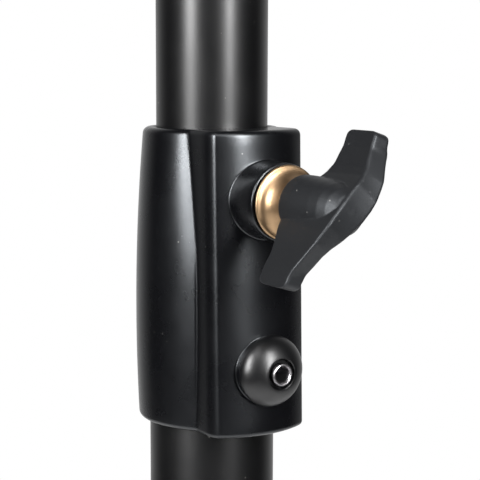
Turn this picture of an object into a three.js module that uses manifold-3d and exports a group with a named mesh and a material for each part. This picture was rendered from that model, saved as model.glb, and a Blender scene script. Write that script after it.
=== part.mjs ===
// A height-adjustable music stand: a folding tripod base, a lower tube with a riveted clamp collar, an
// upper tube that slides and swivels in it, and a tilting desk. Millimetres, +Z up, the player at -Y, the
// clamp knob at +X.
import * as THREE from 'three';
import { mergeVertices } from 'three/addons/utils/BufferGeometryUtils.js';
import Module from 'manifold-3d';

const wasm = await Module();
wasm.setup();

// ---- driving dimensions ----
const GAP = 0.3; // running or fitting gap between neighbouring pieces
const UPPER_R = 12.5; // upper tube, outside
const UPPER_WALL = 1.5;
const LOWER_R = 14.2; // lower tube, outside
const LOWER_WALL = 1.3;
const COLLAR_Z = 566; // underside of the clamp collar
const COLLAR_H = 66;
const KNOB_H = 51.3; // clamp screw axis above the collar's underside
const RIVET_H = 14.5; // collar rivet axis above the collar's underside
const TUBE_IN_COLLAR = 37.3; // how far the lower tube reaches up into the collar
const STUD_R = 3; // M6 clamp screw
const UPPER_Z = [330, 1010]; // ends of the upper tube, stand set to mid height
const TILT_Z = 1040; // desk tilt axis
const DESK_LEAN = THREE.MathUtils.degToRad(25);
const DESK_SIZE = [480, 322]; // desk width and height
const LEDGE_DEPTH = 55;
const LEG_ANGLES = [-90, 30, 150];
const LEG_R = 9.5;
const LEG_WALL = 1.5;
const PIVOT = { r: 42, z: 96 }; // leg hinge pin: distance from the column axis, and height
const FOOT = { r: 330, z: 13 }; // centre of the leg tube's far end
const PIN_R = 4; // hinge pins of the legs and the desk
const ROUND = 36; // facets round a large circle
const SMALL_ROUND = 16; // facets round a small circle

// ---- finishes ----
const finish = (color, roughness, metalness) =>
  new THREE.MeshStandardMaterial({ color, roughness, metalness });
const BLACK_CASTING = finish(0x1d1d21, 0.42, 0.2);
const BLACK_TUBE = finish(0x1b1b1e, 0.32, 0.3);
const BLACK_PLASTIC = finish(0x242428, 0.55, 0);
const GLOSS_PLASTIC = finish(0x111114, 0.25, 0);
const BRASS = finish(0xc9a878, 0.3, 1);
const STEEL = finish(0xa8a8a8, 0.35, 1);
const NYLON = finish(0x303034, 0.6, 0);
const RUBBER = finish(0x161616, 0.85, 0);
const BLACK_SHEET = finish(0x1c1c1e, 0.6, 0.1);

// ---- making and cutting solids ----
function clean(geometry) {
  const bare = new THREE.BufferGeometry();
  bare.setAttribute('position', geometry.getAttribute('position').clone());
  if (geometry.index) bare.setIndex(geometry.index.clone());
  const merged = mergeVertices(bare, 1e-4);
  const faces = [];
  const index = merged.index.array;
  for (let i = 0; i < index.length; i += 3) {
    const [a, b, c] = [index[i], index[i + 1], index[i + 2]];
    if (a !== b && b !== c && c !== a) faces.push(a, b, c);
  }
  merged.setIndex(faces);
  return merged;
}

function toSolid(geometry) {
  const bare = clean(geometry);
  return new wasm.Manifold(new wasm.Mesh({
    numProp: 3,
    vertProperties: new Float32Array(bare.getAttribute('position').array),
    triVerts: new Uint32Array(bare.index.array),
  }));
}

function toGeometry(solid) {
  const mesh = solid.getMesh();
  const geometry = new THREE.BufferGeometry();
  geometry.setAttribute('position', new THREE.BufferAttribute(new Float32Array(mesh.vertProperties), 3));
  geometry.setIndex(new THREE.BufferAttribute(new Uint32Array(mesh.triVerts), 1));
  return geometry;
}

// Joins the first list of geometries and cuts the second list from the result.
function carve(adds, cuts = []) {
  let solid = toSolid(adds[0]);
  for (const more of adds.slice(1)) solid = solid.add(toSolid(more));
  for (const cut of cuts) solid = solid.subtract(toSolid(cut));
  return toGeometry(solid);
}

// Turned pieces: profile points are [radius, distance along the axis], outside first and upwards.
function turned(profile, axis = 'z', facets = ROUND) {
  const geometry = new THREE.LatheGeometry(profile.map(([r, s]) => new THREE.Vector2(r, s)), facets);
  if (axis === 'z') geometry.rotateX(Math.PI / 2);
  if (axis === 'x') geometry.rotateZ(-Math.PI / 2);
  return clean(geometry);
}

function rod(radius, from, to, axis = 'z', facets = ROUND) {
  return turned([[0, from], [radius, from], [radius, to], [0, to]], axis, facets);
}

function ring(inner, outer, from, to, axis = 'z', facets = ROUND) {
  return turned([[outer, from], [outer, to], [inner, to], [inner, from], [outer, from]], axis, facets);
}

function block(x0, x1, y0, y1, z0, z1) {
  const geometry = new THREE.BoxGeometry(x1 - x0, y1 - y0, z1 - z0);
  return geometry.translate((x0 + x1) / 2, (y0 + y1) / 2, (z0 + z1) / 2);
}

// A plate from an outline drawn in X and Z, spanning y0 to y1.
function plateXZ(shape, y0, y1, curveSegments = 8) {
  const geometry = new THREE.ExtrudeGeometry(shape, { depth: y1 - y0, bevelEnabled: false, curveSegments });
  geometry.rotateX(Math.PI / 2);
  return geometry.translate(0, y1, 0);
}

// A plate from an outline drawn in Y and Z, spanning x0 to x1.
function plateYZ(shape, x0, x1, curveSegments = 8) {
  const geometry = new THREE.ExtrudeGeometry(shape, { depth: x1 - x0, bevelEnabled: false, curveSegments });
  geometry.rotateY(Math.PI / 2);
  geometry.rotateX(Math.PI / 2);
  return geometry.translate(x0, 0, 0);
}

function hexHead(size, from, to) {
  const geometry = new THREE.CylinderGeometry(size / Math.sqrt(3), size / Math.sqrt(3), to - from, 6);
  return geometry.rotateZ(-Math.PI / 2).translate((from + to) / 2, 0, 0);
}

function place(parent, name, geometry, material, at = [0, 0, 0]) {
  const mesh = new THREE.Mesh(geometry, material);
  mesh.name = name;
  mesh.position.set(...at);
  parent.add(mesh);
}

// ---- column ----
const UPPER_BORE = UPPER_R - UPPER_WALL;
const LOWER_BORE = LOWER_R - LOWER_WALL;
const BASE_FLOOR_Z = 84;
const LOWER_Z = [BASE_FLOOR_Z + GAP, COLLAR_Z + TUBE_IN_COLLAR];
const HEAD_PIN_R = 1.8;
const HEAD_PIN_Z = UPPER_Z[1] - 12;

function lowerTube() {
  const rivetHole = rod(2.4, 0, 20, 'x', SMALL_ROUND).translate(0, 0, COLLAR_Z + RIVET_H);
  return carve([ring(LOWER_BORE, LOWER_R, ...LOWER_Z)], [rivetHole]);
}

function upperTube() {
  const pinHole = rod(HEAD_PIN_R + GAP, -20, 20, 'z', SMALL_ROUND).rotateX(Math.PI / 2);
  return carve([ring(UPPER_BORE, UPPER_R, ...UPPER_Z)], [pinHole.translate(0, 0, HEAD_PIN_Z)]);
}

// Nylon bush on the foot of the upper tube: a flange that runs in the lower tube and a spigot in the
// upper one.
function guideBush() {
  const top = UPPER_Z[0];
  const [flangeR, spigotR, boreR] = [LOWER_BORE - GAP, UPPER_BORE - GAP, 8];
  return turned([
    [flangeR, top - 13], [flangeR, top - GAP], [spigotR, top - GAP], [spigotR, top + 16],
    [boreR, top + 16], [boreR, top - 13], [flangeR, top - 13],
  ]);
}

// ---- clamp collar ----
const SHOE_BORE_END = 20.1;
const BUSH_HOLE_R = 6.6;
const BOSS_END = 28.9;
const SEAT_FACE = 23.4;
const CUP_R = 7.8; // rim of the domed cup under the collar rivet
const LINER_R = [UPPER_R + GAP, UPPER_R + 1.1];
const BARREL = { r: 17.25, swell: 0.00105, middle: 24 }; // widest radius, its fall and its height
const BLOCK_HALF = 11.9; // half width of the block that carries the screw and the rivet
const FACE_R = 22; // its face is bowed to this radius
const CROWN = [23.5, 21.9]; // column axis to the face's crown, at the bottom and at the top
const BOSS_R = 8.4;

function barrelRadius(h) {
  return BARREL.r - BARREL.swell * (h - BARREL.middle) ** 2;
}

// Distance from the column axis to the block's outline in direction a, at height h, or 0 where it
// doesn't reach.
function blockReach(a, h) {
  const [c, s] = [Math.cos(a), Math.sin(a)];
  if (c <= 0) return 0;
  const centre = THREE.MathUtils.lerp(CROWN[0], CROWN[1], h / COLLAR_H) - FACE_R;
  const toFace = centre * c + Math.sqrt(FACE_R * FACE_R - centre * centre * s * s);
  const toSide = BLOCK_HALF / Math.max(Math.abs(s), 1e-6);
  return Math.min(toFace, toSide);
}

// Barrel and block in one casting, as stacked rings of radii with rounded upper and lower rims.
function collarBody() {
  const corner = Math.atan2(BLOCK_HALF, 19.4);
  const angles = new Set([corner, -corner, corner - 0.02, 0.02 - corner]);
  for (let i = 0; i < 60; i++) angles.add((i / 60) * 2 * Math.PI - Math.PI);
  const turn = [...angles].sort((a, b) => a - b);
  // Each level is a height and how far the rim is inset there.
  const rounding = [[0, 1.8], [0.3, 0.9], [1.8, 0]];
  const levels = [...rounding, [14, 0], [26, 0], [38, 0], [49, 0], [64.6, 0], [65.5, 0.4], [66, 1.4]];
  const points = [];
  for (const [h, inset] of levels) {
    for (const a of turn) {
      const r = Math.max(barrelRadius(h), blockReach(a, h)) - inset;
      points.push(r * Math.cos(a), r * Math.sin(a), h);
    }
  }
  const n = turn.length;
  const last = (levels.length - 1) * n;
  points.push(0, 0, 0, 0, 0, COLLAR_H);
  const [bottom, top] = [last + n, last + n + 1];
  const faces = [];
  for (let i = 0; i < n; i++) {
    const j = (i + 1) % n;
    for (let k = 0; k < last; k += n) faces.push(k + i, k + j, k + n + j, k + i, k + n + j, k + n + i);
    faces.push(bottom, j, i, top, last + i, last + j);
  }
  const geometry = new THREE.BufferGeometry();
  geometry.setAttribute('position', new THREE.Float32BufferAttribute(points, 3));
  geometry.setIndex(faces);
  return geometry;
}

function clampCollar() {
  const bossRim = [[BOSS_R - 0.15, BOSS_END - 0.5], [BOSS_R - 0.6, BOSS_END]];
  const bossProfile = [[0, 14], [BOSS_R, 14], [BOSS_R, 22], ...bossRim, [0, BOSS_END]];
  const boss = turned(bossProfile, 'x').translate(0, 0, KNOB_H);
  const seat = rod(CUP_R + 0.1, 14, SEAT_FACE, 'x').translate(0, 0, RIVET_H);
  const socketR = LOWER_R + GAP;
  const linerHoleR = LINER_R[1] + GAP;
  const lipR = UPPER_R + GAP;
  const shoulder = TUBE_IN_COLLAR + GAP;
  const socket = [[0, -1], [socketR, -1], [socketR, shoulder]];
  const linerHole = [[linerHoleR, shoulder], [linerHoleR, 62]];
  const lip = [[lipR, 62], [lipR, 65.3], [lipR + 0.5, COLLAR_H + 0.1], [0, COLLAR_H + 0.1]];
  const columnBore = turned([...socket, ...linerHole, ...lip]);
  const shoeBore = rod(4, 5, SHOE_BORE_END + 1, 'x', SMALL_ROUND).translate(0, 0, KNOB_H);
  const bushBore = rod(BUSH_HOLE_R, SHOE_BORE_END, 40, 'x', SMALL_ROUND).translate(0, 0, KNOB_H);
  const rivetHole = rod(2.4, 5, 40, 'x', SMALL_ROUND).translate(0, 0, RIVET_H);
  return carve([collarBody(), boss, seat], [columnBore, shoeBore, bushBore, rivetHole]);
}

// Nylon liner that the upper tube slides in, with a window for the clamp shoe.
function collarLiner() {
  const window = rod(4.4, 5, 25, 'x', SMALL_ROUND).translate(0, 0, KNOB_H);
  return carve([ring(...LINER_R, TUBE_IN_COLLAR + GAP, 61.7)], [window]);
}

function threadBush() {
  return ring(STUD_R + GAP, BUSH_HOLE_R - GAP, SHOE_BORE_END + GAP, 28.4, 'x', SMALL_ROUND);
}

// Domed cup under the rivet head, with a recess that the eyelet sits in.
function rivetCup() {
  const base = SEAT_FACE + GAP;
  const top = 28.3;
  const recessR = 3.6;
  const rise = top - base;
  const arc = [];
  for (let i = 0; i <= 5; i++) {
    const radius = Math.sqrt(CUP_R ** 2 - (CUP_R ** 2 - recessR ** 2) * (i / 5) ** 1.7);
    arc.push([radius, base + rise * (i / 5)]);
  }
  const floor = top - 0.9;
  return turned([...arc, [recessR - 0.4, floor], [2.4, floor], [2.4, base], [CUP_R, base]], 'x', 28);
}

// Hollow rivet: a rolled eyelet head outside, its tail set flush in the lower tube's wall.
function clampRivet() {
  return turned([[2.1, 13.1], [2.1, 27.8], [2.5, 28.1], [2.5, 28.6], [2.2, 28.85], [1.8, 28.6], [1.5, 27.9],
    [1.5, 13.1], [2.1, 13.1]], 'x', SMALL_ROUND);
}

// ---- clamp screw and wing knob, along +X at the origin ----
const SHOE_X = [UPPER_R - 2, 18];
const FERRULE_X = [29.4, 34.9];
const HUB_X = FERRULE_X[1] + GAP;
const STUD_END = 50;

function clampShoe() {
  const tubeCut = rod(UPPER_R + GAP, -10, 10);
  const socket = rod(2.6, 15.6, 25, 'x', SMALL_ROUND);
  return carve([rod(3.7, ...SHOE_X, 'x', SMALL_ROUND)], [tubeCut, socket]);
}

function clampStud() {
  const dogPoint = [[0, 15.9], [2.3, 15.9], [2.3, 18.3], [STUD_R - 0.5, 18.3], [STUD_R, 18.8]];
  const end = [[STUD_R, STUD_END - 0.5], [STUD_R - 0.5, STUD_END], [0, STUD_END]];
  return turned([...dogPoint, ...end], 'x', SMALL_ROUND);
}

// Brass trumpet between the boss and the knob's hub.
function knobFerrule() {
  const [from, to] = FERRULE_X;
  const [lipR, neckR] = [8, 5];
  const bore = STUD_R + GAP;
  const flare = [];
  for (let i = 0; i <= 6; i++) {
    const a = (i / 6) * Math.PI / 2;
    flare.push([lipR - 0.3 - (lipR - 0.3 - neckR) * Math.sin(a), to - (to - from - 0.9) * Math.cos(a)]);
  }
  const lip = [[bore, from], [lipR - 0.5, from], [lipR, from + 0.3], [lipR, from + 0.7]];
  return turned([...lip, ...flare, [bore, to], [bore, from]], 'x', 32);
}

// Middle line of the upper wing seen along the screw, as [sideways, up, half thickness]. The lower wing
// is the same, turned by half a turn.
const WING_LINE = [[0, 0, 2.4], [5.5, 5.4, 2.15], [7, 7.3, 1.95], [8.2, 9.3, 1.8], [9.6, 11.5, 1.7],
  [10.7, 14.3, 1.55], [11.2, 15.9, 1.4]];
// The wing's two long edges, as [along the screw, up].
const WING_INNER = [[37, 0], [37.6, 4], [38.4, 9], [38.8, 13], [39.5, 15.1], [40.7, 15.9]];
const WING_OUTER = [[53, 0], [52.3, 2], [51, 5.5], [49, 9.5], [47.5, 12.3], [47, 15], [46.1, 15.9]];

function wingKnob() {
  const dome = [[6.4, 48], [5.5, 50.5], [4.4, 52.2], [2.6, 53.6], [0, 54]];
  const hub = turned([[0, HUB_X], [5.6, HUB_X], [6.4, HUB_X + 0.8], ...dome], 'x', 28);
  const halfTurn = ([y, z, half]) => [-y, -z, half];
  const line = [...WING_LINE.slice(1).reverse().map(halfTurn), ...WING_LINE];
  const sides = [[], []];
  line.forEach(([y, z, half], i) => {
    const [before, after] = [line[Math.max(i - 1, 0)], line[Math.min(i + 1, line.length - 1)]];
    const across = new THREE.Vector2(after[1] - before[1], before[0] - after[0]).setLength(half);
    sides[0].push(new THREE.Vector2(y + across.x, z + across.y));
    sides[1].unshift(new THREE.Vector2(y - across.x, z - across.y));
  });
  const section = plateYZ(new THREE.Shape([...sides[0], ...sides[1]]), 30, 60);
  const lower = (edge) => edge.slice(1).map(([x, z]) => [x, -z]);
  const outer = [...lower(WING_OUTER).reverse(), ...WING_OUTER];
  const inner = [...[...WING_INNER].reverse(), ...lower(WING_INNER)];
  const outline = [...outer, ...inner];
  const plate = plateXZ(new THREE.Shape(outline.map(([x, z]) => new THREE.Vector2(x, z))), -20, 20);
  const wings = toGeometry(toSolid(section).intersect(toSolid(plate)));
  const bore = rod(STUD_R + GAP, HUB_X - 1, STUD_END + GAP, 'x', SMALL_ROUND);
  return carve([hub, wings], [bore]);
}

// ---- base ----
const EAR_Y = [6.4, 11.6];
const legDirection = Math.atan2(FOOT.z - PIVOT.z, FOOT.r - PIVOT.r);
const LEG_LENGTH = Math.hypot(FOOT.r - PIVOT.r, FOOT.z - PIVOT.z);
const CORE_R = 24;

function earShape() {
  const shape = new THREE.Shape();
  shape.moveTo(18, -14);
  shape.lineTo(PIVOT.r, -13);
  shape.absarc(PIVOT.r, 0, 13, -Math.PI / 2, Math.PI / 2, false);
  shape.lineTo(18, 24);
  return shape;
}

// Die-cast hub: a socket for the column and three forks for the legs.
function baseHub() {
  const shoulder = [[CORE_R, 112], [19.5, 126], [17.5, 128], [0, 128]];
  const core = turned([[0, 70], [CORE_R - 2, 70], [CORE_R, 72], ...shoulder]);
  const adds = [core];
  const cuts = [rod(LOWER_R + GAP, BASE_FLOOR_Z, 140), rod(PIN_R + GAP, 60, 90, 'z', SMALL_ROUND)];
  for (const degrees of LEG_ANGLES) {
    const turn = THREE.MathUtils.degToRad(degrees);
    for (const side of [-1, 1]) {
      const [near, far] = side < 0 ? [-EAR_Y[1], -EAR_Y[0]] : EAR_Y;
      adds.push(plateXZ(earShape(), near, far).translate(0, 0, PIVOT.z).rotateZ(turn));
    }
    adds.push(block(20, 31, -7, 7, 82, 91).rotateZ(turn));
    const pinHole = rod(PIN_R + GAP, -20, 20, 'z', SMALL_ROUND).rotateX(Math.PI / 2);
    cuts.push(pinHole.translate(PIVOT.r, 0, PIVOT.z).rotateZ(turn));
  }
  return carve(adds, cuts);
}

function baseInsert() {
  return ring(PIN_R + GAP, LOWER_BORE - GAP, BASE_FLOOR_Z + 2 * GAP, 104, 'z', 24);
}

function baseWasher() {
  return ring(PIN_R + GAP, 9, 68.1, 69.7, 'z', SMALL_ROUND);
}

function baseBolt() {
  const shank = rod(PIN_R, 60, 100, 'x', SMALL_ROUND);
  return carve([shank, hexHead(13, 62, 67.8)], [block(50, 62, -9, 9, -9, 9)]).rotateY(-Math.PI / 2);
}

// Leg pieces lie along +X from the hinge pin at the origin.
const KNUCKLE_END = 24;

function legKnuckle() {
  const tongue = new THREE.Shape();
  tongue.moveTo(-12, -7);
  tongue.lineTo(KNUCKLE_END, -7);
  tongue.lineTo(KNUCKLE_END, 9);
  tongue.lineTo(4, 9);
  tongue.absarc(-3, 0, 9, Math.PI / 2, Math.PI, false);
  const body = plateXZ(tongue, -6, 6);
  const stop = rod(LEG_R, KNUCKLE_END - 5, KNUCKLE_END, 'x', 28);
  const spigot = rod(LEG_R - LEG_WALL - GAP, KNUCKLE_END - 2, KNUCKLE_END + 24, 'x', 28);
  const pinHole = rod(PIN_R + GAP, -20, 20, 'z', SMALL_ROUND).rotateX(Math.PI / 2);
  return carve([body, stop, spigot], [pinHole]);
}

function legTube() {
  return ring(LEG_R - LEG_WALL, LEG_R, KNUCKLE_END + GAP, LEG_LENGTH, 'x', 28);
}

function legPin() {
  const half = EAR_Y[1] + GAP;
  const head = [[PIN_R, half], [6.2, half], [6.2, half + 1.4], [4.5, half + 3], [0, half + 3]];
  const lowerHead = head.map(([r, along]) => [r, -along]).reverse();
  return turned([...lowerHead, ...head], 'z', SMALL_ROUND).rotateX(Math.PI / 2);
}

// Rubber boot on the leg's end, its underside flat on the floor.
function legFoot() {
  const cuff = [[0, LEG_LENGTH - 26], [11.8, LEG_LENGTH - 26], [12.4, LEG_LENGTH - 24]];
  const toe = [[12.8, LEG_LENGTH + 8], [10.5, LEG_LENGTH + 11], [0, LEG_LENGTH + 11]];
  const boot = turned([...cuff, ...toe], 'x', 28);
  const socket = rod(LEG_R + GAP, LEG_LENGTH - 30, LEG_LENGTH + GAP, 'x', 28);
  const floorCut = block(FOOT.r - 60, FOOT.r + 60, -30, 30, -40, 0);
  floorCut.translate(-PIVOT.r, 0, -PIVOT.z).rotateY(legDirection);
  return carve([boot], [socket, floorCut]);
}

// ---- mast head and desk ----
const TONGUE_HALF = 6;
const WASHER_X = [TONGUE_HALF + GAP, TONGUE_HALF + 1.8];
const BRACKET_X = [WASHER_X[1] + GAP, WASHER_X[1] + GAP + 3];
const BOLT_HEAD_X = BRACKET_X[1] + GAP;
const BRACKET_Y = [-24.2, -21.7];
const PANEL_Y = [-26, -24.5];
const PANEL_Z = [-131, DESK_SIZE[1] - 131];
const DESK_RIVETS = [[-20, -14], [20, -14], [-20, 14], [20, 14]];
const LEDGE_RIVETS = [-180, 0, 180];
const LEDGE_RIVET_Z = -112;
const SHEET = 1.5;
const RIVET_HOLE_R = 2.3;

// Die-cast head pressed into the upper tube, with a flat tongue for the desk bracket.
function mastHead() {
  const top = UPPER_Z[1];
  const plugR = UPPER_BORE - GAP;
  const plug = [[0, top - 25], [plugR - 0.5, top - 25], [plugR, top - 23], [plugR, top + GAP]];
  const cap = [[UPPER_R, top + GAP], [UPPER_R, top + 4], [10, top + 7], [0, top + 7]];
  const stem = turned([...plug, ...cap]);
  const tongue = new THREE.Shape();
  tongue.moveTo(-9.6, top + 3);
  tongue.lineTo(9.6, top + 3);
  tongue.lineTo(14, TILT_Z - 6);
  tongue.lineTo(14, TILT_Z);
  tongue.absarc(0, TILT_Z, 14, 0, Math.PI, false);
  tongue.lineTo(-14, TILT_Z - 6);
  const boltHole = rod(PIN_R + GAP, -20, 20, 'x', SMALL_ROUND).translate(0, 0, TILT_Z);
  const pinHole = rod(HEAD_PIN_R + GAP, -20, 20, 'z', SMALL_ROUND);
  pinHole.rotateX(Math.PI / 2).translate(0, 0, HEAD_PIN_Z);
  return carve([stem, plateYZ(tongue, -TONGUE_HALF, TONGUE_HALF, 16)], [boltHole, pinHole]);
}

function mastHeadPin() {
  return rod(HEAD_PIN_R, -12.3, 12.3, 'z', SMALL_ROUND).rotateX(Math.PI / 2).translate(0, 0, HEAD_PIN_Z);
}

function acrossSheet(x, z, radius) {
  return rod(radius, -40, 0, 'z', 12).rotateX(-Math.PI / 2).translate(x, 0, z);
}

// Pressed U bracket: two ears on the tilt bolt and a plate riveted to the back of the desk.
function deskBracket() {
  const ear = new THREE.Shape();
  ear.moveTo(BRACKET_Y[1] - 1, -20);
  ear.lineTo(-12, -17);
  ear.absarc(0, 0, 13, -Math.PI * 0.62, Math.PI * 0.62, false);
  ear.lineTo(-12, 17);
  ear.lineTo(BRACKET_Y[1] - 1, 20);
  const plate = block(-30, 30, ...BRACKET_Y, -22, 22);
  const ears = [plateYZ(ear, ...BRACKET_X, 12), plateYZ(ear, -BRACKET_X[1], -BRACKET_X[0], 12)];
  const boltHole = rod(PIN_R + GAP, -20, 20, 'x', SMALL_ROUND);
  const rivetHoles = DESK_RIVETS.map(([x, z]) => acrossSheet(x, z, RIVET_HOLE_R));
  return carve([plate, ...ears], [boltHole, ...rivetHoles]);
}

function deskPanel() {
  const [half, corner] = [DESK_SIZE[0] / 2, 28];
  const [low, high] = PANEL_Z;
  const shape = new THREE.Shape();
  shape.moveTo(-half, low);
  shape.lineTo(half, low);
  shape.lineTo(half, high - corner);
  shape.absarc(half - corner, high - corner, corner, 0, Math.PI / 2, false);
  shape.absarc(corner - half, high - corner, corner, Math.PI / 2, Math.PI, false);
  const holes = DESK_RIVETS.map(([x, z]) => acrossSheet(x, z, RIVET_HOLE_R));
  const ledgeHoles = LEDGE_RIVETS.map((x) => acrossSheet(x, LEDGE_RIVET_Z, RIVET_HOLE_R));
  return carve([plateXZ(shape, ...PANEL_Y, 10)], [...holes, ...ledgeHoles]);
}

// Folded ledge: a flange on the desk, a tray under the music and a low front lip.
function deskLedge() {
  const back = PANEL_Y[0] - GAP;
  const front = back - SHEET - LEDGE_DEPTH;
  const low = PANEL_Z[0];
  const flange = [[back, -98], [back - SHEET, -98], [back - SHEET, low + SHEET]];
  const lip = [[front + SHEET, low + SHEET], [front + SHEET, low + 14], [front, low + 14]];
  const profile = [...flange, ...lip, [front, low], [back, low]];
  const shape = new THREE.Shape(profile.map(([y, z]) => new THREE.Vector2(y, z)));
  const holes = LEDGE_RIVETS.map((x) => acrossSheet(x, LEDGE_RIVET_Z, RIVET_HOLE_R));
  return carve([plateYZ(shape, 4 - DESK_SIZE[0] / 2, DESK_SIZE[0] / 2 - 4)], holes);
}

// Rivet along Y: a domed head in front of y0 and a set head behind y1.
function sheetRivet(y0, y1) {
  const head = [[0, y0 - 2.2], [3, y0 - 1.8], [4, y0 - GAP], [2, y0 - GAP]];
  const setHead = [[2, y1 + GAP], [3.4, y1 + GAP], [2.6, y1 + 1.8], [0, y1 + 1.8]];
  return turned([...head, ...setHead], 'z', 12).rotateX(-Math.PI / 2);
}

function tiltWasher(side) {
  const [near, far] = side > 0 ? WASHER_X : [-WASHER_X[1], -WASHER_X[0]];
  return ring(PIN_R + GAP, 11, near, far, 'x', 28);
}

function tiltBolt() {
  const shank = rod(PIN_R, -BOLT_HEAD_X - 3, BOLT_HEAD_X + 9, 'x', SMALL_ROUND);
  return carve([shank, hexHead(13, -BOLT_HEAD_X - 5.3, -BOLT_HEAD_X)]);
}

function tiltNut() {
  return carve([hexHead(13, BOLT_HEAD_X, BOLT_HEAD_X + 7.5)], [rod(PIN_R + GAP, 0, 40, 'x', SMALL_ROUND)]);
}

// ---- assembly, on the column axis ----
const stand = new THREE.Group();

place(stand, 'base_hub', baseHub(), BLACK_CASTING);
place(stand, 'base_insert', baseInsert(), STEEL);
place(stand, 'base_washer', baseWasher(), STEEL);
place(stand, 'base_bolt', baseBolt(), STEEL);
place(stand, 'lower_tube', lowerTube(), BLACK_TUBE);
place(stand, 'guide_bush', guideBush(), NYLON);
place(stand, 'upper_tube', upperTube(), BLACK_TUBE);

const collar = new THREE.Group();
collar.position.z = COLLAR_Z;
stand.add(collar);
place(collar, 'clamp_collar', clampCollar(), BLACK_CASTING);
place(collar, 'collar_liner', collarLiner(), NYLON);
place(collar, 'thread_bush', threadBush(), STEEL, [0, 0, KNOB_H]);
place(collar, 'rivet_cup', rivetCup(), GLOSS_PLASTIC, [0, 0, RIVET_H]);
place(collar, 'clamp_rivet', clampRivet(), STEEL, [0, 0, RIVET_H]);

const screw = new THREE.Group();
screw.position.z = KNOB_H;
collar.add(screw);
place(screw, 'clamp_shoe', clampShoe(), NYLON);
place(screw, 'clamp_stud', clampStud(), STEEL);
place(screw, 'knob_ferrule', knobFerrule(), BRASS);
place(screw, 'wing_knob', wingKnob(), BLACK_PLASTIC);

LEG_ANGLES.forEach((degrees, i) => {
  const spoke = new THREE.Group();
  spoke.rotation.z = THREE.MathUtils.degToRad(degrees);
  stand.add(spoke);
  place(spoke, `leg_pin_${i + 1}`, legPin(), STEEL, [PIVOT.r, 0, PIVOT.z]);
  const leg = new THREE.Group();
  leg.position.set(PIVOT.r, 0, PIVOT.z);
  leg.rotation.y = -legDirection;
  spoke.add(leg);
  place(leg, `leg_knuckle_${i + 1}`, legKnuckle(), BLACK_CASTING);
  place(leg, `leg_tube_${i + 1}`, legTube(), BLACK_TUBE);
  place(leg, `leg_foot_${i + 1}`, legFoot(), RUBBER);
});

place(stand, 'mast_head', mastHead(), BLACK_CASTING);
place(stand, 'mast_head_pin', mastHeadPin(), STEEL);

const desk = new THREE.Group();
desk.position.z = TILT_Z;
desk.rotation.x = -DESK_LEAN;
stand.add(desk);
place(desk, 'desk_bracket', deskBracket(), BLACK_SHEET);
place(desk, 'desk_panel', deskPanel(), BLACK_SHEET);
place(desk, 'desk_ledge', deskLedge(), BLACK_SHEET);
DESK_RIVETS.forEach(([x, z], i) => {
  place(desk, `desk_rivet_${i + 1}`, sheetRivet(PANEL_Y[0], BRACKET_Y[1]), STEEL, [x, 0, z]);
});
LEDGE_RIVETS.forEach((x, i) => {
  const rivet = sheetRivet(PANEL_Y[0] - GAP - SHEET, PANEL_Y[1]);
  place(desk, `ledge_rivet_${i + 1}`, rivet, STEEL, [x, 0, LEDGE_RIVET_Z]);
});
place(desk, 'tilt_washer_left', tiltWasher(-1), NYLON);
place(desk, 'tilt_washer_right', tiltWasher(1), NYLON);
place(desk, 'tilt_bolt', tiltBolt(), STEEL);
place(desk, 'tilt_nut', tiltNut(), STEEL);

// The origin is on the floor under the middle of the whole outline.
const model = new THREE.Group();
model.add(stand);
model.updateMatrixWorld(true);
const bounds = new THREE.Box3().setFromObject(model, true);
const middle = bounds.getCenter(new THREE.Vector3());
stand.position.set(-middle.x, -middle.y, -bounds.min.z);

export default model;
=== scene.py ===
import math
import bmesh
import bpy
import numpy as np
from mathutils import Matrix, Vector


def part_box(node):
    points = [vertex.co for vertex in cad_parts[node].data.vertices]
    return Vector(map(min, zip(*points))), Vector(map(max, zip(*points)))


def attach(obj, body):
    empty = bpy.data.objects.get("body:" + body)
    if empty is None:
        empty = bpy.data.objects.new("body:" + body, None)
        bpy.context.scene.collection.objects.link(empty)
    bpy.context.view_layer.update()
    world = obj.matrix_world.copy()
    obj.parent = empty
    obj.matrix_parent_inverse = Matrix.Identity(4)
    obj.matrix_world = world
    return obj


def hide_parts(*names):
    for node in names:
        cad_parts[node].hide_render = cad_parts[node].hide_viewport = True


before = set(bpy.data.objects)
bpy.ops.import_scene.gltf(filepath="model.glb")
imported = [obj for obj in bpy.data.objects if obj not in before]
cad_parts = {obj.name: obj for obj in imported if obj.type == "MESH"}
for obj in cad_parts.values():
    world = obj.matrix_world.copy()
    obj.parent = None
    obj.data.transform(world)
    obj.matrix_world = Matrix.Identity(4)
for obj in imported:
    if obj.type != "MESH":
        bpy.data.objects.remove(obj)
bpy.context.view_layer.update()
MM = 0.001

# ---- Lower tube ----
# A welded steel tube, 28 mm across, powder coated in semi-gloss black. It stands in the base hub and
# carries the clamp collar, riveted on near its upper end. Its cut ends are deburred.


def soften(points, radius, steps=4, closed=True):
    """Rounds each corner of a profile with a short curve that starts radius away from it."""
    points = [Vector(p) for p in points]
    out = []
    for i, corner in enumerate(points):
        if not closed and i in (0, len(points) - 1):
            out.append(tuple(corner))
            continue
        before = points[i - 1] - corner
        after = points[(i + 1) % len(points)] - corner
        start = corner + before.normalized() * min(radius, before.length * 0.45)
        end = corner + after.normalized() * min(radius, after.length * 0.45)
        for k in range(steps + 1):
            t = k / steps
            p = start * (1 - t) ** 2 + corner * 2 * t * (1 - t) + end * t**2
            out.append((p.x, p.y))
    return out


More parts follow.
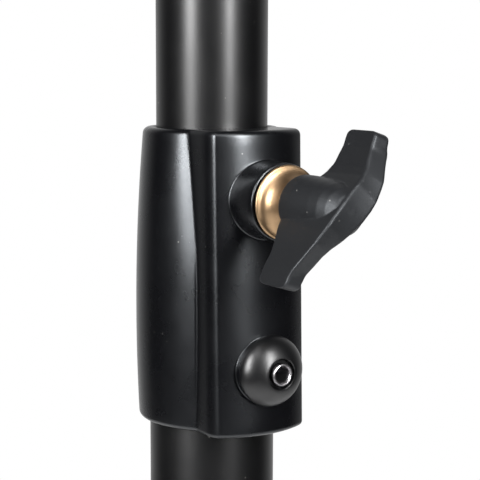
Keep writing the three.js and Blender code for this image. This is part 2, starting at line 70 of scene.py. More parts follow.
def add_piece(name, verts, faces, smooth=math.radians(32)):
    """Makes a closed mesh object from lists of points in metres and faces, with faces pointing out."""
    mesh = bpy.data.meshes.new(name)
    mesh.from_pydata(verts, [], faces)
    work = bmesh.new()
    work.from_mesh(mesh)
    bmesh.ops.remove_doubles(work, verts=work.verts, dist=1e-7)
    bmesh.ops.recalc_face_normals(work, faces=work.faces)
    work.to_mesh(mesh)
    work.free()
    mesh.shade_smooth()
    mesh.set_sharp_from_angle(angle=smooth)
    piece = bpy.data.objects.new(name, mesh)
    bpy.context.scene.collection.objects.link(piece)
    return piece


def turned(name, profile, centre, axis="Z", around=144, closed=True):
    """Turns a profile of (radius, distance along the axis), in mm, round an axis through centre."""
    verts, faces = [], []
    for r, s in profile:
        for k in range(around):
            a = 2 * math.pi * k / around
            u, v = r * math.cos(a), r * math.sin(a)
            local = {"X": (s, u, v), "Y": (v, s, u), "Z": (u, v, s)}[axis]
            verts.append(Vector(centre) + Vector(local) * MM)
    rows = len(profile)
    for i in range(rows if closed else rows - 1):
        a, b = i * around, ((i + 1) % rows) * around
        for k in range(around):
            n = (k + 1) % around
            faces.append((a + k, a + n, b + n, b + k))
    if not closed:
        faces.append(tuple(range(around)))
        faces.append(tuple(range((rows - 1) * around, rows * around)))
    return add_piece(name, verts, faces)


def new_group(name, inputs, outputs):
    """Starts a shader node group with the named input values and output kinds."""
    group = bpy.data.node_groups.new(name, "ShaderNodeTree")
    for label, value in inputs.items():
        socket = group.interface.new_socket(label, in_out="INPUT", socket_type="NodeSocketFloat")
        socket.default_value = value
    for label, kind in outputs.items():
        group.interface.new_socket(label, in_out="OUTPUT", socket_type="NodeSocket" + kind)
    return group, group.nodes.new("NodeGroupInput"), group.nodes.new("NodeGroupOutput")


def noise(tree, scale, detail=3.0, roughness=0.5):
    """A noise texture in object space. Scale counts bumps per metre, and may be a socket."""
    place = tree.nodes.new("ShaderNodeTexCoord")
    texture = tree.nodes.new("ShaderNodeTexNoise")
    texture.inputs["Detail"].default_value = detail
    texture.inputs["Roughness"].default_value = roughness
    tree.links.new(place.outputs["Object"], texture.inputs["Vector"])
    if isinstance(scale, (int, float)):
        texture.inputs["Scale"].default_value = scale
    else:
        tree.links.new(scale, texture.inputs["Scale"])
    return texture.outputs["Fac"]


def remap(tree, value, low, high, to_low, to_high):
    """Maps low..high to to_low..to_high, clamped. The last two may be sockets."""
    node = tree.nodes.new("ShaderNodeMapRange")
    node.inputs["From Min"].default_value = low
    node.inputs["From Max"].default_value = high
    for label, end in (("To Min", to_low), ("To Max", to_high)):
        if isinstance(end, (int, float)):
            node.inputs[label].default_value = end
        else:
            tree.links.new(end, node.inputs[label])
    tree.links.new(value, node.inputs["Value"])
    return node.outputs["Result"]


def combine(tree, operation, a, b):
    """One maths step on two values, either of which may be a number."""
    node = tree.nodes.new("ShaderNodeMath")
    node.operation = operation
    for socket, value in zip(node.inputs, (a, b)):
        if isinstance(value, (int, float)):
            socket.default_value = value
        else:
            tree.links.new(value, socket)
    return node.outputs[0]


def make_coat_surface():
    """Surface of a sprayed or moulded finish: fine grain, uneven gloss and the dust that sits on it."""
    group, given, gives = new_group(
        "coat_surface",
        {
            "Grain per metre": 2200.0, "Roughness low": 0.35, "Roughness high": 0.48,
            "Dust": 0.5, "Wear": 0.5,
        },
        {"Height": "Float", "Roughness": "Float", "Dust": "Float", "Wear": "Float"},
    )
    grain = noise(group, given.outputs["Grain per metre"], 4.0, 0.62)
    group.links.new(grain, gives.inputs["Height"])
    patches = noise(group, 70.0, 5.0, 0.6)
    low, high = given.outputs["Roughness low"], given.outputs["Roughness high"]
    rough = remap(group, patches, 0.3, 0.7, low, high)
    group.links.new(rough, gives.inputs["Roughness"])
    # dust: sparse specks, each a small cell with a random share of them switched on
    place = group.nodes.new("ShaderNodeTexCoord")
    cells = group.nodes.new("ShaderNodeTexVoronoi")
    cells.inputs["Scale"].default_value = 420.0
    group.links.new(place.outputs["Object"], cells.inputs["Vector"])
    near = remap(group, cells.outputs["Distance"], 0.03, 0.09, 1.0, 0.0)
    split = group.nodes.new("ShaderNodeSeparateColor")
    group.links.new(cells.outputs["Color"], split.inputs["Color"])
    chosen = combine(group, "GREATER_THAN", split.outputs["Red"], 0.9)
    speck = combine(group, "MULTIPLY", near, chosen)
    haze = remap(group, noise(group, 900.0, 6.0, 0.7), 0.66, 0.8, 0.0, 0.25)
    dust = combine(group, "MAXIMUM", speck, haze)
    group.links.new(combine(group, "MULTIPLY", dust, given.outputs["Dust"]), gives.inputs["Dust"])
    # wear: only along convex edges, broken up by noise
    shape = group.nodes.new("ShaderNodeNewGeometry")
    edge = remap(group, shape.outputs["Pointiness"], 0.53, 0.62, 0.0, 1.0)
    broken = remap(group, noise(group, 700.0, 4.0, 0.6), 0.4, 0.62, 0.15, 1.0)
    rubbed = combine(group, "MULTIPLY", edge, broken)
    group.links.new(combine(group, "MULTIPLY", rubbed, given.outputs["Wear"]), gives.inputs["Wear"])
    return group


coat_surface = make_coat_surface()


def coated(name, colour, worn, dusty, specular=0.5, sheen=(1, 1, 1), bump=0.05, **values):
    """A painted or moulded finish: the coat surface's values drive one Principled shader."""
    made = bpy.data.materials.new(name)
    made.use_nodes = True
    tree = made.node_tree
    shader = tree.nodes["Principled BSDF"]
    surface = tree.nodes.new("ShaderNodeGroup")
    surface.node_tree = coat_surface
    for label, value in values.items():
        surface.inputs[label.replace("_", " ").capitalize()].default_value = value
    tint = tree.nodes.new("ShaderNodeMix")
    tint.data_type = "RGBA"
    tint.inputs["A"].default_value = (*colour, 1)
    tint.inputs["B"].default_value = (*worn, 1)
    tree.links.new(surface.outputs["Wear"], tint.inputs["Factor"])
    dusted = tree.nodes.new("ShaderNodeMix")
    dusted.data_type = "RGBA"
    dusted.inputs["B"].default_value = (*dusty, 1)
    tree.links.new(tint.outputs["Result"], dusted.inputs["A"])
    tree.links.new(surface.outputs["Dust"], dusted.inputs["Factor"])
    tree.links.new(dusted.outputs["Result"], shader.inputs["Base Color"])
    tree.links.new(surface.outputs["Roughness"], shader.inputs["Roughness"])
    relief = tree.nodes.new("ShaderNodeBump")
    relief.inputs["Strength"].default_value = bump
    relief.inputs["Distance"].default_value = 0.0002
    tree.links.new(surface.outputs["Height"], relief.inputs["Height"])
    tree.links.new(relief.outputs["Normal"], shader.inputs["Normal"])
    shader.inputs["Specular IOR Level"].default_value = specular
    shader.inputs["Specular Tint"].default_value = (*sheen, 1)
    return made


DUST_COLOUR = (0.35, 0.34, 0.32)
COOL_SHEEN = (0.91, 0.955, 1.0)
tube_coat = coated(
    "tube_coat", (0.001, 0.001, 0.0012), (0.05, 0.05, 0.055), DUST_COLOUR, specular=0.45, bump=0.03,
    grain_per_metre=1500.0, roughness_low=0.3, roughness_high=0.36, dust=0.4, wear=0.4,
)


def finish(piece, material, body, slot, *replaced):
    """Gives a piece its material and body, and hides the CAD nodes that it stands for. The slot is not
    used.
    """
    piece.data.materials.clear()
    piece.data.materials.append(material)
    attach(piece, body)
    if replaced:
        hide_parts(*replaced)
    return piece


def keep(node, material):
    """Keeps a CAD node as it is, with a better material."""
    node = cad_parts[node]
    node.data.materials.clear()
    node.data.materials.append(material)


upper_low, upper_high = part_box("upper_tube")
column = (upper_low + upper_high) / 2  # a point on the column's axis


def tube_profile(node, wall):
    """Wall section of an upright tube from its CAD node's box: radius and height in millimetres."""
    low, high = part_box(node)
    outer = (high.x - low.x) / 2 / MM
    bottom, top = low.z / MM, high.z / MM
    ring = [(outer, bottom), (outer, top), (outer - wall, top), (outer - wall, bottom)]
    return soften(ring, 0.45)


axis_on_floor = (column.x, column.y, 0)
lower_tube = turned("lower_tube_shell", tube_profile("lower_tube", 1.3), axis_on_floor)
finish(lower_tube, tube_coat, "stand", "tube", "lower_tube")

# ---- Base hub and its bolt ----
# An aluminium die casting in black satin paint: a socket for the lower tube and three forks for the
# legs. An M8 bolt with a washer pulls the tube's insert down into the socket from below.
casting_coat = coated(
    "casting_coat", (0.001, 0.001, 0.0014), (0.06, 0.06, 0.062), DUST_COLOUR, specular=0.5,
    sheen=COOL_SHEEN, bump=0.07, grain_per_metre=2600.0, roughness_low=0.25, roughness_high=0.31,
    dust=0.6, wear=0.35,
)


def make_metal_surface():
    """Surface of a bare metal: cloudy roughness, faint stains and fine tool marks round the X axis."""
    group, given, gives = new_group(
        "metal_surface",
        {"Roughness low": 0.28, "Roughness high": 0.42, "Centre Y": 0.0, "Centre Z": 0.0, "Rings": 0.0},
        {"Height": "Float", "Roughness": "Float", "Stain": "Float"},
    )
    patches = noise(group, 220.0, 4.0, 0.6)
    low, high = given.outputs["Roughness low"], given.outputs["Roughness high"]
    rough = remap(group, patches, 0.3, 0.7, low, high)
    group.links.new(rough, gives.inputs["Roughness"])
    group.links.new(remap(group, patches, 0.35, 0.65, 0.0, 1.0), gives.inputs["Stain"])
    place = group.nodes.new("ShaderNodeTexCoord")
    centre = group.nodes.new("ShaderNodeCombineXYZ")
    group.links.new(given.outputs["Centre Y"], centre.inputs["Y"])
    group.links.new(given.outputs["Centre Z"], centre.inputs["Z"])
    shift = group.nodes.new("ShaderNodeVectorMath")
    shift.operation = "SUBTRACT"
    group.links.new(place.outputs["Object"], shift.inputs[0])
    group.links.new(centre.outputs["Vector"], shift.inputs[1])
    rings = group.nodes.new("ShaderNodeTexWave")
    rings.wave_type = "RINGS"
    rings.rings_direction = "X"
    rings.inputs["Scale"].default_value = 900.0
    rings.inputs["Distortion"].default_value = 1.5
    rings.inputs["Detail"].default_value = 3.0
    group.links.new(shift.outputs["Vector"], rings.inputs["Vector"])
    grain = noise(group, 5000.0, 3.0, 0.7)
    turned_marks = combine(group, "MULTIPLY", rings.outputs["Fac"], given.outputs["Rings"])
    unturned = combine(group, "SUBTRACT", 1.0, given.outputs["Rings"])
    plain_marks = combine(group, "MULTIPLY", grain, unturned)
    group.links.new(combine(group, "ADD", turned_marks, plain_marks), gives.inputs["Height"])
    return group


metal_surface = make_metal_surface()


def metal(name, colour, low, high, turned_about=None, bump=0.04):
    """A bare metal, with tool marks in rings round the given point if it was turned along X."""
    made = bpy.data.materials.new(name)
    made.use_nodes = True
    tree = made.node_tree
    shader = tree.nodes["Principled BSDF"]
    shader.inputs["Metallic"].default_value = 1.0
    surface = tree.nodes.new("ShaderNodeGroup")
    surface.node_tree = metal_surface
    surface.inputs["Roughness low"].default_value = low
    surface.inputs["Roughness high"].default_value = high
    if turned_about is not None:
        surface.inputs["Centre Y"].default_value = turned_about.y
        surface.inputs["Centre Z"].default_value = turned_about.z
        surface.inputs["Rings"].default_value = 1.0
    tint = tree.nodes.new("ShaderNodeMix")
    tint.data_type = "RGBA"
    tint.inputs["A"].default_value = (*(c * 0.82 for c in colour), 1)
    tint.inputs["B"].default_value = (*colour, 1)
    tree.links.new(surface.outputs["Stain"], tint.inputs["Factor"])
    tree.links.new(tint.outputs["Result"], shader.inputs["Base Color"])
    tree.links.new(surface.outputs["Roughness"], shader.inputs["Roughness"])
    relief = tree.nodes.new("ShaderNodeBump")
    relief.inputs["Strength"].default_value = bump
    relief.inputs["Distance"].default_value = 0.0001
    tree.links.new(surface.outputs["Height"], relief.inputs["Height"])
    tree.links.new(relief.outputs["Normal"], shader.inputs["Normal"])
    return made


zinc = metal("zinc_plate", (0.42, 0.42, 0.43), 0.28, 0.42)


def softened(node, width):
    """Copies a CAD node's mesh and rounds its sharp edges, width in millimetres."""
    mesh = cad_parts[node].data.copy()
    work = bmesh.new()
    work.from_mesh(mesh)
    bmesh.ops.remove_doubles(work, verts=work.verts, dist=1e-6)
    bmesh.ops.dissolve_limit(work, angle_limit=math.radians(1), verts=work.verts, edges=work.edges)
    inner = [e for e in work.edges if len(e.link_faces) == 2]
    sharp = [e for e in inner if e.calc_face_angle() > math.radians(32)]
    bmesh.ops.bevel(
        work, geom=sharp, offset=width * MM, offset_type="OFFSET", segments=2, profile=0.5,
        affect="EDGES", clamp_overlap=True,
    )
    work.to_mesh(mesh)
    work.free()
    mesh.shade_smooth()
    mesh.set_sharp_from_angle(angle=math.radians(40))
    piece = bpy.data.objects.new(node + "_body", mesh)
    bpy.context.scene.collection.objects.link(piece)
    even = piece.modifiers.new("even", "WEIGHTED_NORMAL")
    even.keep_sharp = True
    shaded = piece.evaluated_get(bpy.context.evaluated_depsgraph_get())
    piece.data = bpy.data.meshes.new_from_object(shaded)
    piece.modifiers.clear()
    return piece


finish(softened("base_hub", 0.7), casting_coat, "stand", "casting", "base_hub")
for node in ("base_bolt", "base_washer"):
    finish(softened(node, 0.3), zinc, "stand", "steel", node)
keep("base_insert", zinc)

# ---- Legs ----
# Each leg is a 19 mm tube on a die-cast knuckle that folds down about a rivet in the hub's fork. A
# rubber boot is pushed on its end and cut flat where it stands.
rubber = coated(
    "boot_rubber", (0.012, 0.012, 0.012), (0.03, 0.03, 0.03), (0.2, 0.19, 0.17),
    specular=0.35, bump=0.25,
    grain_per_metre=900.0, roughness_low=0.62, roughness_high=0.78, dust=0.5, wear=0.2,
)
for i in (1, 2, 3):
    finish(softened(f"leg_pin_{i}", 0.3), zinc, "stand", "steel", f"leg_pin_{i}")
    finish(softened(f"leg_knuckle_{i}", 0.6), casting_coat, f"leg_{i}", "casting", f"leg_knuckle_{i}")
    finish(softened(f"leg_tube_{i}", 0.2), tube_coat, f"leg_{i}", "tube", f"leg_tube_{i}")
    finish(softened(f"leg_foot_{i}", 0.5), rubber, f"leg_{i}", "rubber", f"leg_foot_{i}")

# ---- Clamp collar ----
# A zinc die casting in black satin paint, slipped over the lower tube and riveted to it. The barrel
# swells slightly at its middle. A block with a bowed face carries the screw boss above and the rivet's
# flat seat below.
collar_low, collar_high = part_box("clamp_collar")
stud_low, stud_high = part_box("clamp_stud")
cup_low, cup_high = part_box("rivet_cup")
COLLAR_HEIGHT = (collar_high.z - collar_low.z) / MM
KNOB_HEIGHT = ((stud_low.z + stud_high.z) / 2 - collar_low.z) / MM
RIVET_HEIGHT = ((cup_low.z + cup_high.z) / 2 - collar_low.z) / MM
BARREL_R, BARREL_SWELL, BARREL_MIDDLE = 17.25, 0.00105, 24.0
BLOCK_HALF = 11.9
FACE_R = 22.0
CREASE_ANGLE = math.asin(BLOCK_HALF / BARREL_R)  # where the barrel runs into the block
FLARE, FLARE_WIDTH = 0.8, math.radians(38)  # the barrel swells a little towards that crease
CROWN_LOW, CROWN_HIGH = 23.5, 21.9
BOTTOM_ROUND, TOP_ROUND = 1.2, 1.4
LIP_R, LINER_HOLE_R, SOCKET_R = 12.8, 13.9, 14.5  # the column bore, from the top down
collar_foot = Vector((column.x, column.y, collar_low.z))


def crown(h):
    return CROWN_LOW + (CROWN_HIGH - CROWN_LOW) * h / COLLAR_HEIGHT


def soft_min(a, b, blend):
    near = np.maximum(blend - np.abs(a - b), 0) / blend
    return np.minimum(a, b) - near**2 * blend / 4


def collar_radius(angle, h):
    """Distance from the column's axis to the casting's skin, for angles from +X and one height."""
    c, s = np.cos(angle), np.sin(angle)
    middle = crown(h) - FACE_R
    to_face = middle * c + np.sqrt(FACE_R**2 - (middle * s) ** 2)
    to_side = BLOCK_HALF / np.maximum(np.abs(s), 1e-6)
    ridge = np.where(s < 0, 2.8, 2.8)
    block = soft_min(to_face, to_side, ridge)
    block = np.where(c > 0, block, 0)
    barrel = BARREL_R - BARREL_SWELL * (h - BARREL_MIDDLE) ** 2
    near_crease = 1 - np.abs(np.abs(np.arctan2(s, c)) - CREASE_ANGLE) / FLARE_WIDTH
    down = min(max((64 - h) / 32, 0), 1)
    barrel = barrel + FLARE * down * down * (3 - 2 * down) * np.maximum(near_crease, 0) ** 2
    return -soft_min(-barrel, -block, 0.5)


def face_at(y, h):
    """How far out the block's bowed face is, at sideways distance y and height h."""
    return crown(h) - FACE_R + math.sqrt(FACE_R**2 - y**2)


def collar_shell():
    """The casting's skin, rims and bore as rings of points."""
    ridge = math.atan2(BLOCK_HALF, 19.4)
    crease = math.asin(BLOCK_HALF / 17.0)
    angles = list(np.linspace(-math.pi, math.pi, 180, endpoint=False))
    for sign in (-1, 1):
        angles += list(sign * ridge + np.radians(np.linspace(-4, 4, 41)))
        angles += list(sign * crease + np.radians(np.linspace(-5, 5, 25)))
    angles = np.unique(np.round(angles, 5))
    rows = [(SOCKET_R, None, 0.0)]  # (bore radius, or None on the skin; rim inset; height)
    for t in np.linspace(0, 90, 10):
        lift = math.radians(t)
        rows.append((None, BOTTOM_ROUND * (1 - math.sin(lift)), BOTTOM_ROUND * (1 - math.cos(lift))))
    for h in np.linspace(BOTTOM_ROUND, COLLAR_HEIGHT - TOP_ROUND, 32)[1:-1]:
        rows.append((None, 0.0, h))
    for t in np.linspace(0, 90, 8):
        drop = math.radians(t)
        inset = TOP_ROUND * (1 - math.cos(drop))
        rows.append((None, inset, COLLAR_HEIGHT - TOP_ROUND * (1 - math.sin(drop))))
    top = COLLAR_HEIGHT
    lip = [(13.6, top), (13.2, top - 0.15), (12.9, top - 0.6), (LIP_R, top - 1), (LIP_R, 62)]
    bore = lip + [(LINER_HOLE_R, 62), (LINER_HOLE_R, 37.6), (SOCKET_R, 37.6)]
    rows += [(r, None, h) for r, h in bore]
    verts, faces = [], []
    for fixed, inset, h in rows:
        radii = np.full(len(angles), fixed) if inset is None else collar_radius(angles, h) - inset
        for a, r in zip(angles, radii):
            verts.append((r * math.cos(a), r * math.sin(a), h))
    n = len(angles)
    for i in range(len(rows)):
        a, b = i * n, ((i + 1) % len(rows)) * n
        for k in range(n):
            m = (k + 1) % n
            faces.append((a + k, a + m, b + m, b + k))
    return verts, faces


def grown_boss(height, radius, fillet, outline, around=128):
    """A round boss on the bowed face: a fillet that follows the face, then the outline's (radius, x)."""
    verts, faces = [], []
    rows = [(radius + fillet, "face", -0.15)]
    for t in range(7):
        a = math.radians(15 * t)
        rows.append((radius + fillet * (1 - math.sin(a)), "face", fillet * (1 - math.cos(a))))
    rows += [(r, "plain", x) for r, x in outline]
    for r, kind, x in rows:
        for k in range(around):
            a = 2 * math.pi * k / around
            y, z = r * math.cos(a), r * math.sin(a)
            out = face_at(y, height + z) + x if kind == "face" else x
            verts.append((out, y, height + z))
    for i in range(len(rows)):
        a, b = i * around, ((i + 1) % len(rows)) * around
        for k in range(around):
            n = (k + 1) % around
            faces.append((a + k, a + n, b + n, b + k))
    return verts, faces


BOSS_R, BOSS_END_R = 8.4, 8.25
SEAT_R = 7.45
boss_end = (collar_high.x - column.x) / MM
boss_rim = [(BOSS_END_R + 0.1, 27), (BOSS_END_R, boss_end), (7.35, boss_end), (6.9, boss_end - 0.7)]
boss_outline = [(8.38, 24.5)] + soften(boss_rim + [(6.6, 18.5), (9.3, 18.5)], 0.4, closed=False)
seat_x = (cup_low.x - column.x) / MM - 0.3
seat_rim = [(7.44, seat_x - 0.8), (7.4, seat_x), (2.4, seat_x), (2.4, 18), (7.8, 18)]
seat_outline = soften(seat_rim, 0.3, closed=False)
shells = [
    collar_shell(),
    grown_boss(KNOB_HEIGHT, BOSS_R, 0.3, boss_outline),
    grown_boss(RIVET_HEIGHT, SEAT_R, 0.2, seat_outline),
]
collar_verts, collar_faces = [], []
for verts, faces in shells:
    start = len(collar_verts)
    collar_verts += [collar_foot + Vector(v) * MM for v in verts]
    collar_faces += [tuple(start + k for k in f) for f in faces]
collar = add_piece("clamp_collar_casting", collar_verts, collar_faces, math.radians(48))
finish(collar, casting_coat, "stand", "casting", "clamp_collar")

# ---- Liner and thread bush ----
# A split nylon liner takes up the play between the collar and the upper tube. A steel bush with an M6
# thread is pressed into the boss and takes the clamp screw.
nylon = coated(
    "black_nylon", (0.02, 0.02, 0.022), (0.05, 0.05, 0.05), DUST_COLOUR, specular=0.4, bump=0.08,
    grain_per_metre=1800.0, roughness_low=0.48, roughness_high=0.6, dust=0.3, wear=0.2,
)
keep("collar_liner", nylon)
keep("guide_bush", nylon)
keep("clamp_shoe", nylon)
blued = metal("blued_steel", (0.05, 0.05, 0.055), 0.35, 0.5)
keep("thread_bush", blued)

# ---- Collar rivet and its cup ----
# A hollow nickel-plated rivet goes through the casting into the tube wall. Its rolled head sits in a
# glossy black cup, a shallow dome with a recess round the eyelet.
cup_gloss = coated(
    "cup_gloss", (0.001, 0.001, 0.0013), (0.04, 0.04, 0.042), DUST_COLOUR, specular=0.5, bump=0.02,
    grain_per_metre=1800.0, roughness_low=0.32, roughness_high=0.38, dust=0.4, wear=0.25,
)
rivet_axis = Vector((column.x, column.y, (cup_low.z + cup_high.z) / 2))
cup_base, cup_top = (cup_low.x - column.x) / MM, (cup_high.x - column.x) / MM
CUP_R, RECESS_R = 7.8, 3.65
CUP_RIM = 0.45
dome = []
for k in range(17):
    t = k / 16
    r = math.sqrt(CUP_R**2 - (CUP_R**2 - RECESS_R**2) * t**1.7)
    dome.append((r, cup_base + CUP_RIM + (cup_top - cup_base - CUP_RIM) * t))
cup_profile = [(CUP_R - 0.1, cup_base), (CUP_R, cup_base + 0.15)] + dome
cup_profile += [(3.45, cup_top + 0.02), (3.3, cup_top - 0.1), (3.15, cup_top - 0.8), (2.95, cup_top - 1)]
cup_profile += [(2.4, cup_top - 1), (2.4, cup_base)]
cup = turned("rivet_cup_dome", cup_profile, rivet_axis, "X", 96)
finish(cup, cup_gloss, "stand", "gloss_plastic", "rivet_cup")

rivet_low, rivet_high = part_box("clamp_rivet")
tail, head = (rivet_low.x - column.x) / MM, (rivet_high.x - column.x) / MM
nickel = metal("nickel_plate", (0.30, 0.29, 0.30), 0.25, 0.4)
eyelet = [(2.1, tail), (2.1, head - 1.1), (2.35, head - 0.95), (2.5, head - 0.6), (2.48, head - 0.3)]
eyelet += [(2.35, head - 0.08), (2.15, head), (1.95, head - 0.05), (1.8, head - 0.25)]
eyelet += [(1.68, head - 0.6), (1.6, head - 1.2), (1.55, head - 2), (1.5, tail)]
rivet = turned("clamp_rivet_eyelet", eyelet, rivet_axis, "X", 72)
finish(rivet, nickel, "stand", "rivet_steel", "clamp_rivet")

# ---- Upper tube ----
# A 25 mm steel tube in the same black coat. It slides in the lower tube on a nylon bush and turns in
# the collar.
upper_tube = turned("upper_tube_shell", tube_profile("upper_tube", 1.5), axis_on_floor)
finish(upper_tube, tube_coat, "mast", "tube", "upper_tube")

# ---- Clamp screw and brass ferrule ----
# The knob's M6 steel stud runs through the boss and presses a nylon shoe on the upper tube. A turned
# brass ferrule, flared like a trumpet, covers the stud between the boss and the knob.
screw_axis = Vector((column.x, column.y, (stud_low.z + stud_high.z) / 2))
brass_turned = metal(
    "turned_brass", (0.35, 0.232, 0.133), 0.36, 0.44, turned_about=screw_axis, bump=0.05,
)
ferrule_low, ferrule_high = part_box("knob_ferrule")
flare_from, flare_to = (ferrule_low.x - column.x) / MM, (ferrule_high.x - column.x) / MM
ferrule_r = (ferrule_high.z - ferrule_low.z) / 2 / MM
STUD_HOLE_R = 3.3
NECK_R = 5.0
LIP = 0.9  # length of the rounded lip at the wide end
ferrule = [(STUD_HOLE_R, flare_from), (7.2, flare_from), (7.7, flare_from + 0.08)]
ferrule += [(ferrule_r - 0.05, flare_from + 0.3), (ferrule_r, flare_from + 0.5)]
ferrule += [(ferrule_r - 0.05, flare_from + 0.68), (ferrule_r - 0.2, flare_from + 0.82)]
for k in range(17):
    a = math.radians(90 * k / 16)
    neck = ferrule_r - 0.35 - (ferrule_r - 0.35 - NECK_R) * math.sin(a)
    ferrule.append((neck, flare_to - (flare_to - flare_from - LIP) * math.cos(a)))
ferrule.append((STUD_HOLE_R, flare_to))
flare = turned("knob_ferrule_flare", ferrule, screw_axis, "X", 128)
finish(flare, brass_turned, "knob", "brass", "knob_ferrule")
keep("clamp_stud", zinc)

# ---- Wing knob ----
# A two-winged knob moulded in matt black plastic round the stud's head. Seen along the screw the wings
# make a slender S. They grow out of the hub in soft fillets and thin out towards their tips.
knob_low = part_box("wing_knob")[0]
hub_from = (knob_low.x - column.x) / MM
HUB_R = 6.4
# middle line of the upper wing: (sideways, up, half thickness); the lower is the same after half a turn
WING_LINE = [
    (0, 0, 3.3), (2.6, 2.5, 3.1), (4.2, 4.1, 2.8), (5.5, 5.4, 2.5), (7, 7.3, 2.25),
    (8.2, 9.3, 2.15), (9.7, 11.5, 2.05), (10.8, 14.1, 1.9), (11.1, 15, 1.8),
]
# its two long edges: (up, along the screw)
WING_INNER = [
    (0, 35.7), (2, 36.1), (4, 36.9), (6.5, 38.1), (9, 38.6), (11.5, 38.4), (13.5, 38), (16, 37.8),
]
WING_OUTER = [(0, 52.5), (2, 52.4), (5.5, 51.4), (9.5, 49.2), (12, 47.9), (16, 47.3)]
TIP_ROUND = 1.3
knob_plastic = coated(
    "knob_plastic", (0.0027, 0.0028, 0.0034), (0.06, 0.06, 0.065), DUST_COLOUR, specular=0.45,
    sheen=COOL_SHEEN, bump=0.12, grain_per_metre=3200.0, roughness_low=0.45, roughness_high=0.53,
    dust=0.35, wear=0.3,
)


def wing_blank(half_turn, steps=44, edge=0.45):
    """One wing: plates with slightly rounded edges as sections, set along its middle line."""
    line = np.array(WING_LINE)
    inner, outer = np.array(WING_INNER), np.array(WING_OUTER)
    along = np.concatenate([[0], np.cumsum(np.hypot(*np.diff(line[:, :2], axis=0).T))])
    verts, faces = [], []
    corner = [(math.cos(math.radians(t)), math.sin(math.radians(t))) for t in (0, 30, 60, 90)]
    for k in range(steps):
        s = along[-1] * k / (steps - 1)
        y, z, half = (np.interp(s, along, line[:, i]) for i in range(3))
        ahead, behind = min(s + 0.8, along[-1]), max(s - 0.8, 0)
        ends = [[np.interp(at, along, line[:, i]) for i in (0, 1)] for at in (ahead, behind)]
        way = np.array(ends[0]) - np.array(ends[1])
        way /= np.hypot(*way)
        past_round = max(TIP_ROUND - (along[-1] - s), 0)
        cut = TIP_ROUND - math.sqrt(max(TIP_ROUND**2 - past_round**2, 0))
        section = []
        for sx, sn in ((1, 1), (-1, 1), (-1, -1), (1, -1)):
            turn = corner if sx * sn > 0 else corner[::-1]
            for c, t in turn:
                n = sn * (half - edge * (1 - t))
                up = z - n * way[0]
                end = np.interp(abs(up), *(outer if sx > 0 else inner).T)
                section.append((end - sx * (edge * (1 - c) + cut), y + n * way[1], up))
        if half_turn:
            section = [(x, -py, -pz) for x, py, pz in section]
        verts += section
    n = len(section)
    for k in range(steps - 1):
        for i in range(n):
            j = (i + 1) % n
            faces.append((k * n + i, k * n + j, (k + 1) * n + j, (k + 1) * n + i))
    faces.append(tuple(range(n)))
    faces.append(tuple(range((steps - 1) * n, steps * n)))
    return verts, faces


def moulded(name, blanks, voxel, passes):
    """Fuses overlapping blanks into one skin and rounds its edges and inner corners."""
    verts, faces = [], []
    for blank_verts, blank_faces in blanks:
        start = len(verts)
        verts += [Vector(v) * MM for v in blank_verts]
        faces += [tuple(start + k for k in f) for f in blank_faces]
    rough = add_piece(name + "_blank", verts, faces)
    fuse = rough.modifiers.new("fuse", "REMESH")
    fuse.mode = "VOXEL"
    fuse.voxel_size = voxel * MM
    ease = rough.modifiers.new("ease", "SMOOTH")
    ease.factor = 0.5
    ease.iterations = passes
    mesh = bpy.data.meshes.new_from_object(rough.evaluated_get(bpy.context.evaluated_depsgraph_get()))
    bpy.data.objects.remove(rough)
    mesh.shade_smooth()
    piece = bpy.data.objects.new(name, mesh)
    bpy.context.scene.collection.objects.link(piece)
    return piece


def hub_blank(profile, around=72):
    verts = [(x, r * math.cos(2 * math.pi * k / around), r * math.sin(2 * math.pi * k / around))
             for r, x in profile for k in range(around)]
    faces = [tuple(range(around)), tuple(range(len(verts) - around, len(verts)))]
    for i in range(len(profile) - 1):
        for k in range(around):
            n = (k + 1) % around
            faces.append((i * around + k, i * around + n, (i + 1) * around + n, (i + 1) * around + k))
    return verts, faces


hub = [(HUB_R - 0.8, hub_from), (HUB_R - 0.25, hub_from + 0.25), (HUB_R, hub_from + 0.8), (HUB_R, 39)]
hub += [(6.2, 42), (5.95, 45), (5.6, 47.5), (4.9, 49.6), (3.8, 51.2), (2.4, 52.1), (0.4, 52.4)]
knob = moulded("wing_knob_moulding", [hub_blank(hub), wing_blank(False), wing_blank(True)], 0.2, 6)
knob.data.transform(Matrix.Translation(screw_axis))
finish(knob, knob_plastic, "knob", "knob_plastic", "wing_knob")

# ---- Mast head ----
# A die-cast plug pressed into the upper tube and pinned through it. Its flat tongue carries the desk.
finish(softened("mast_head", 0.6), casting_coat, "mast", "casting", "mast_head")
finish(softened("mast_head_pin", 0.2), zinc, "mast", "steel", "mast_head_pin")

# ---- Desk ----
# Folded sheet steel, powder coated in matt black: a desk, a ledge riveted along its lower edge, and a U
# bracket riveted to its back. An M8 bolt with nylon friction washers holds the bracket on the mast head.
sheet_coat = coated(
    "sheet_coat", (0.013, 0.013, 0.014), (0.05, 0.05, 0.052), DUST_COLOUR, specular=0.4, bump=0.12,
    grain_per_metre=1400.0, roughness_low=0.5, roughness_high=0.62, dust=0.6, wear=0.0,
)
for node in ("desk_panel", "desk_ledge", "desk_bracket"):
    finish(softened(node, 0.4), sheet_coat, "desk", "sheet", node)
for node in ("tilt_bolt", "tilt_nut"):
    finish(softened(node, 0.3), zinc, "desk", "steel", node)
for side in ("left", "right"):
    finish(softened(f"tilt_washer_{side}", 0.2), nylon, "desk", "nylon", f"tilt_washer_{side}")
for node in [f"desk_rivet_{i}" for i in (1, 2, 3, 4)] + [f"ledge_rivet_{i}" for i in (1, 2, 3)]:
    finish(softened(node, 0.2), nickel, "desk", "rivet_steel", node)

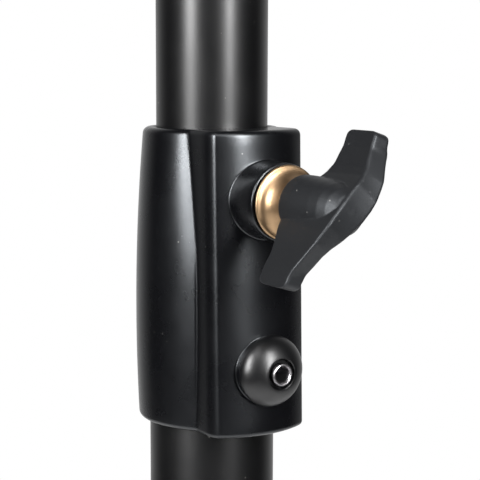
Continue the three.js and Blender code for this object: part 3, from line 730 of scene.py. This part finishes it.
# ---- Studio ----
# A pale floor that fades into a white surround, two tall soft lights for the long streaks on the tubes,
# a soft light above, and the camera close to the clamp.
CAMERA_AZIMUTH = math.radians(58.3)
CAMERA_DISTANCE = 308.3 * MM
CAMERA_ABOVE_SCREW = 29.85 * MM
CAMERA_PITCH = math.radians(7.57)
CAMERA_PAN = math.radians(1.188)
CAMERA_ROLL = math.radians(0.16)
SENSOR = 36.0
FOCAL = 102.6

lens = bpy.data.cameras.new("camera")
lens.sensor_width = SENSOR
lens.lens = FOCAL
lens.clip_start = 0.01
camera = bpy.data.objects.new("camera", lens)
away = Vector((math.sin(CAMERA_AZIMUTH), -math.cos(CAMERA_AZIMUTH), 0))
eye = Vector((column.x, column.y, screw_axis.z + CAMERA_ABOVE_SCREW)) + away * CAMERA_DISTANCE
heading = Matrix.Rotation(CAMERA_AZIMUTH - CAMERA_PAN, 4, "Z")
turn = heading @ Matrix.Rotation(math.pi / 2 - CAMERA_PITCH, 4, "X")
camera.matrix_world = Matrix.Translation(eye) @ turn @ Matrix.Rotation(CAMERA_ROLL, 4, "Z")
bpy.context.scene.collection.objects.link(camera)
bpy.context.scene.camera = camera
bpy.context.scene.view_settings.view_transform = "Standard"


def soft_light(name, azimuth, distance, height, width, tall, power, target=None):
    """A rectangular soft light at an azimuth round the column, facing it."""
    data = bpy.data.lights.new(name, "AREA")
    data.shape = "RECTANGLE"
    data.size, data.size_y = width, tall
    data.energy = power
    light = bpy.data.objects.new(name, data)
    a = math.radians(azimuth)
    offset = distance * Vector((math.sin(a), -math.cos(a), 0))
    light.location = Vector((column.x, column.y, height)) + offset
    aim = (target or Vector((column.x, column.y, height))) - light.location
    light.rotation_euler = aim.to_track_quat("-Z", "Y").to_euler()
    bpy.context.scene.collection.objects.link(light)


CAMERA_SIDE = math.degrees(CAMERA_AZIMUTH)
soft_light("left_strip", CAMERA_SIDE - 44, 1.1, 1.08, 0.34, 0.9, 33)
soft_light("right_strip", CAMERA_SIDE + 36, 1.1, 1.12, 0.2, 0.9, 33)
soft_light("overhead", CAMERA_SIDE, 0.9, 2.0, 1.2, 1.2, 16, target=Vector((column.x, column.y, 0.6)))

world = bpy.data.worlds.new("surround")
bpy.context.scene.world = world
world.use_nodes = True
sky = world.node_tree
background = sky.nodes["Background"]
path = sky.nodes.new("ShaderNodeLightPath")
# lit from behind: the surround is bright on the side that faces the camera's back and dim in front
direction = sky.nodes.new("ShaderNodeTexCoord")
facing = sky.nodes.new("ShaderNodeVectorMath")
facing.operation = "DOT_PRODUCT"
facing.inputs[1].default_value = -away
sky.links.new(direction.outputs["Generated"], facing.inputs[0])
behind = remap(sky, facing.outputs["Value"], 0.25, 0.95, 0.01, 0.8)
level = remap(sky, path.outputs["Is Camera Ray"], 0.0, 1.0, behind, 1.0)
background.inputs["Color"].default_value = (1, 1, 1, 1)
sky.links.new(level, background.inputs["Strength"])

FLOOR_R = 1.5
floor_mesh = bpy.data.meshes.new("floor")
turns = [2 * math.pi * k / 96 for k in range(96)]
rim = [(FLOOR_R * math.cos(a), FLOOR_R * math.sin(a), 0) for a in turns]
floor_mesh.from_pydata(rim, [], [tuple(range(96))])
floor = bpy.data.objects.new("floor", floor_mesh)
bpy.context.scene.collection.objects.link(floor)
pale = bpy.data.materials.new("pale_floor")
pale.use_nodes = True
tree = pale.node_tree
shader = tree.nodes["Principled BSDF"]
shader.inputs["Base Color"].default_value = (0.86, 0.86, 0.86, 1)
shader.inputs["Roughness"].default_value = 0.7
shader.inputs["Emission Color"].default_value = (1, 1, 1, 1)
shader.inputs["Emission Strength"].default_value = 0.25
place = tree.nodes.new("ShaderNodeTexCoord")
reach = tree.nodes.new("ShaderNodeVectorMath")
reach.operation = "LENGTH"
tree.links.new(place.outputs["Object"], reach.inputs[0])
fade = remap(tree, reach.outputs["Value"], 0.4, FLOOR_R * 0.95, 1.0, 0.0)
tree.links.new(fade, shader.inputs["Alpha"])
floor_mesh.materials.append(pale)
